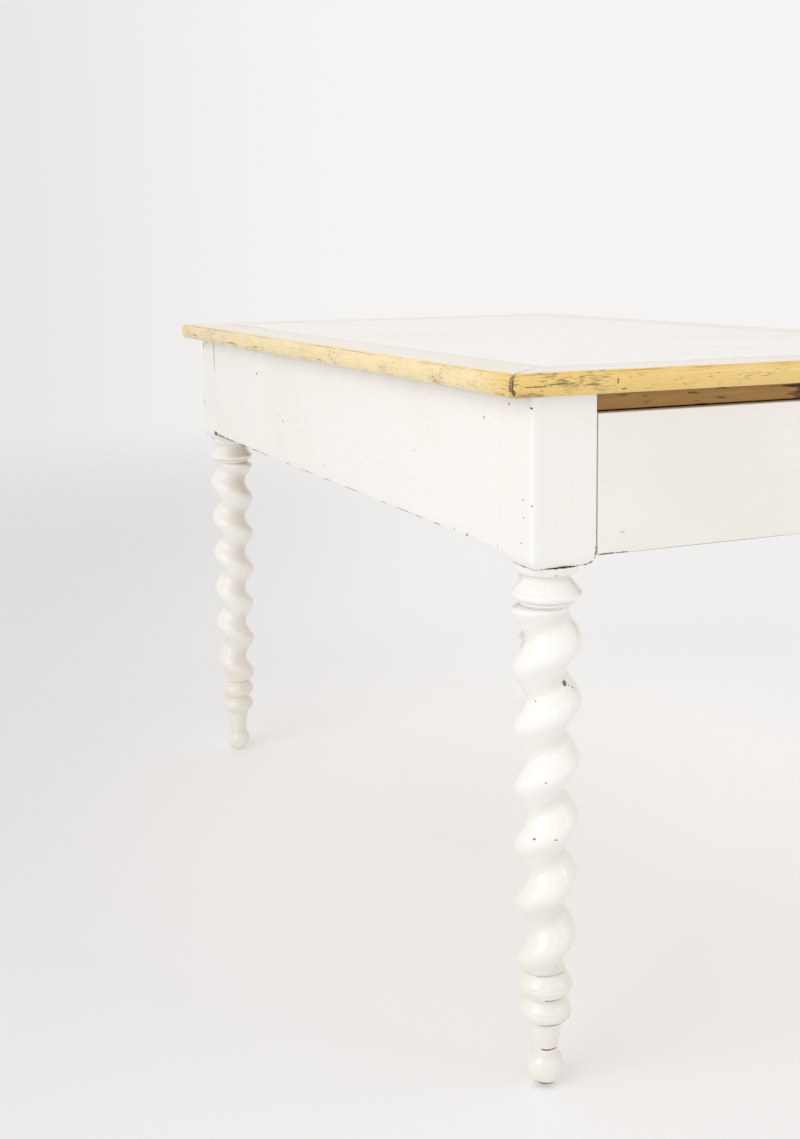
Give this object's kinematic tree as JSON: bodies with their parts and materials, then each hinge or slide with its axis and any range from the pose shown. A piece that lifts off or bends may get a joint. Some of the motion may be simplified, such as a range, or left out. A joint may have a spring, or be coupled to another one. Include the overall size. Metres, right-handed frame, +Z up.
{
  "type": "kitchen table with drawers",
  "caption": "Rectangular painted kitchen table on barley-twist legs with a finger-pull drawer in each short end.",
  "frame": {"origin": "on the floor under the centre of the table top", "axes": "+X across the table, +Y along the table towards the back drawer end, +Z up; -Y is the end with the front drawer"},
  "size_m": [0.75, 1.25, 0.77],
  "materials": {
    "white_paint": "worn gloss paint",
    "yellow_paint": "worn gloss paint",
    "bare_wood": "bare pine"
  },
  "bodies": {
    "frame": {"apron_left": "white_paint", "apron_right": "white_paint", "centre_rail": "bare_wood", "glue_blocks": "bare_wood", "guide_back_left": "bare_wood", "guide_back_right": "bare_wood", "guide_front_left": "bare_wood", "guide_front_right": "bare_wood", "kicker_back_left": "bare_wood", "kicker_back_right": "bare_wood", "kicker_front_left": "bare_wood", "kicker_front_right": "bare_wood", "legs": "white_paint", "lower_rail_back": "bare_wood", "lower_rail_front": "bare_wood", "runner_back_left": "bare_wood", "runner_back_right": "bare_wood", "runner_front_left": "bare_wood", "runner_front_right": "bare_wood", "top_board_1": "white_paint", "top_board_2": "white_paint", "top_board_3": "white_paint", "top_board_4": "white_paint", "top_board_5": "white_paint", "top_border_back": "white_paint", "top_border_front": "white_paint", "top_border_left": "white_paint", "top_border_right": "white_paint", "upper_rail_back": "yellow_paint", "upper_rail_front": "yellow_paint"},
    "front_drawer": {"front_drawer_bottom": "bare_wood", "front_drawer_face": "white_paint", "front_drawer_left_side": "bare_wood", "front_drawer_rear": "bare_wood", "front_drawer_right_side": "bare_wood"},
    "back_drawer": {"back_drawer_bottom": "bare_wood", "back_drawer_face": "white_paint", "back_drawer_left_side": "bare_wood", "back_drawer_rear": "bare_wood", "back_drawer_right_side": "bare_wood"}
  },
  "joints": [
    {"name": "front_drawer_slide", "type": "slide", "parent": "frame", "child": "front_drawer", "axis": [0, -1, 0], "range_m": [0, 0.42]},
    {"name": "back_drawer_slide", "type": "slide", "parent": "frame", "child": "back_drawer", "axis": [0, 1, 0], "range_m": [0, 0.42]}
  ]
}
